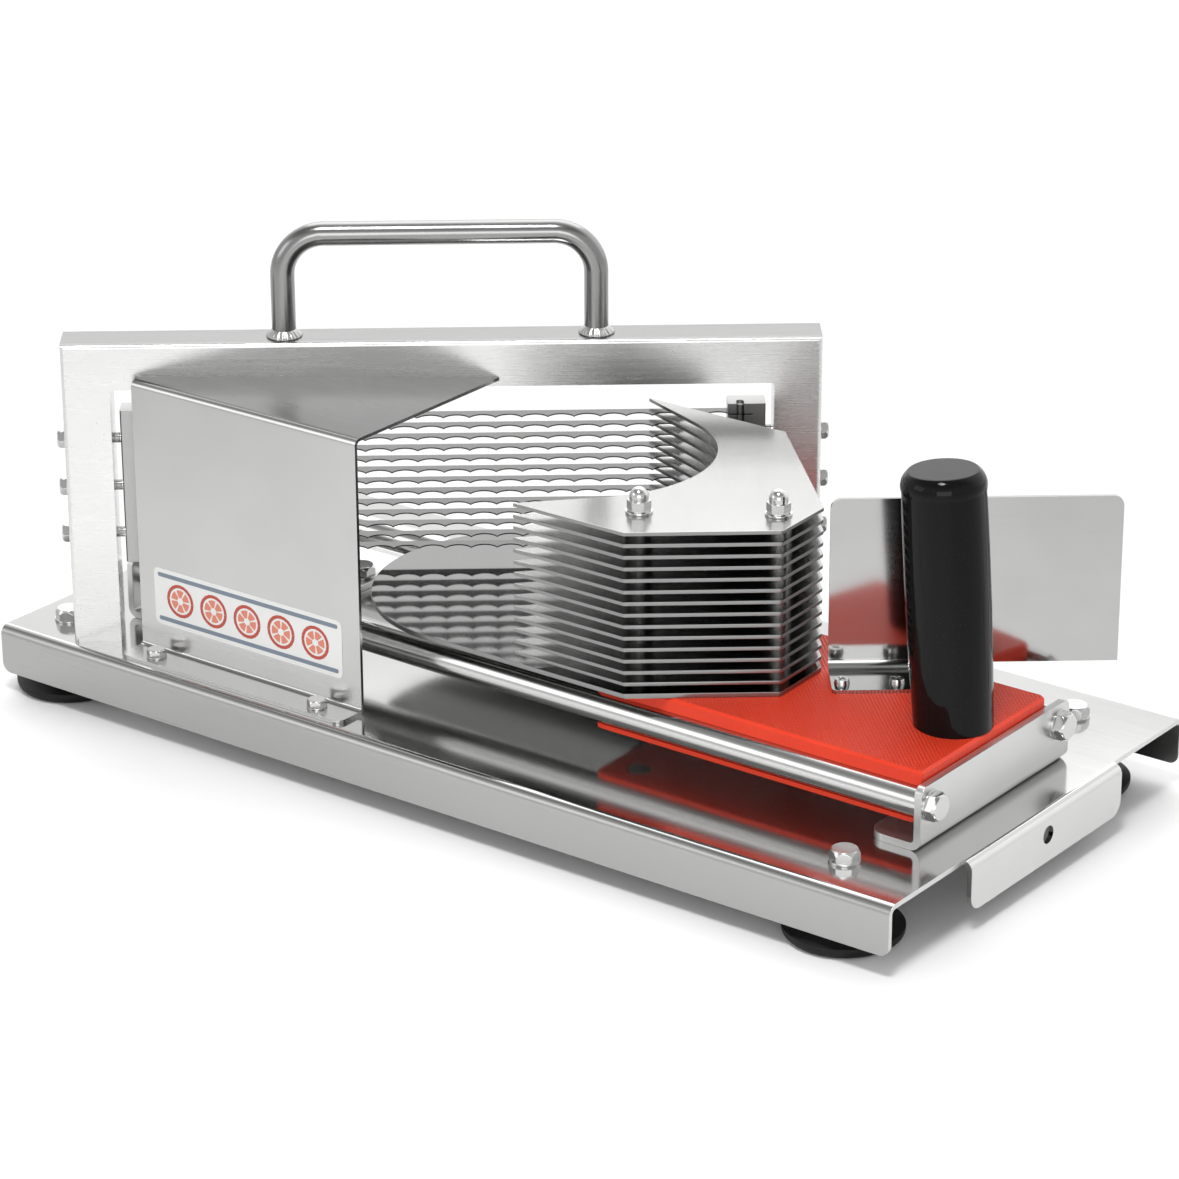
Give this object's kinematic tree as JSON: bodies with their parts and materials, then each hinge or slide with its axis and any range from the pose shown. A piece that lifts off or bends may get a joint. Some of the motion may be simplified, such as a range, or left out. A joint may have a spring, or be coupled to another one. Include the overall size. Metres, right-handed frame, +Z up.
{
  "type": "manual vegetable slicer",
  "caption": "Hand-pushed slicer: a finned pusher on two guide rods presses a vegetable through a tensioned blade grid in a diagonal tube portal with a carry handle.",
  "frame": {"origin": "centre of the whole box, on the surface that the feet stand on", "axes": "+X along the base towards the grip end, +Y from the covered front side to the back, +Z up"},
  "size_m": [0.439, 0.2056, 0.2003],
  "materials": {
    "base_steel": "polished sheet",
    "satin_steel": "brushed",
    "mirror_steel": "polished",
    "ground_steel": "ground",
    "blade_steel": "ground",
    "holder_steel": "milled",
    "fastener_steel": "bright",
    "red_plastic": "fine diamond grain",
    "black_plastic": "glossy",
    "black_rubber": "matt"
  },
  "bodies": {
    "frame": {"base_plate": "base_steel", "portal_frame": "satin_steel", "carry_handle": "satin_steel", "blade_cover": "satin_steel", "left_rod_bracket": "satin_steel", "right_rod_bracket": "satin_steel", "front_guide_rod": "ground_steel", "back_guide_rod": "ground_steel", "left_blade_holder": "holder_steel", "right_blade_holder": "holder_steel", "blade_pins": "holder_steel", "leg_plugs": "holder_steel", "blade_01": "blade_steel", "blade_02": "blade_steel", "blade_03": "blade_steel", "blade_04": "blade_steel", "blade_05": "blade_steel", "blade_06": "blade_steel", "blade_07": "blade_steel", "blade_08": "blade_steel", "blade_09": "blade_steel", "blade_10": "blade_steel", "blade_11": "blade_steel", "blade_12": "blade_steel", "blade_13": "blade_steel", "foot_front_left": "black_rubber", "foot_front_right": "black_rubber", "foot_back_left": "black_rubber", "foot_back_right": "black_rubber", "foot_bolts": "fastener_steel", "portal_bolts": "fastener_steel", "cover_bolts": "fastener_steel", "tension_screws": "fastener_steel", "rod_bolts": "fastener_steel", "bracket_screws": "fastener_steel"},
    "carriage": {"slide_board": "red_plastic", "tray_plate": "mirror_steel", "pusher_plate_01": "mirror_steel", "pusher_plate_02": "mirror_steel", "pusher_plate_03": "mirror_steel", "pusher_plate_04": "mirror_steel", "pusher_plate_05": "mirror_steel", "pusher_plate_06": "mirror_steel", "pusher_plate_07": "mirror_steel", "pusher_plate_08": "mirror_steel", "pusher_plate_09": "mirror_steel", "pusher_plate_10": "mirror_steel", "pusher_plate_11": "mirror_steel", "pusher_plate_12": "mirror_steel", "pusher_plate_13": "mirror_steel", "pusher_plate_14": "mirror_steel", "pusher_spacers": "fastener_steel", "pusher_studs": "fastener_steel", "cap_nuts": "fastener_steel", "push_grip": "black_plastic", "grip_stud": "fastener_steel", "hand_guard": "mirror_steel", "guard_screws": "fastener_steel"}
  },
  "joints": [
    {"name": "carriage_slide", "type": "slide", "parent": "frame", "child": "carriage", "axis": [-1, 0, 0], "range_m": [0, 0.16]}
  ]
}
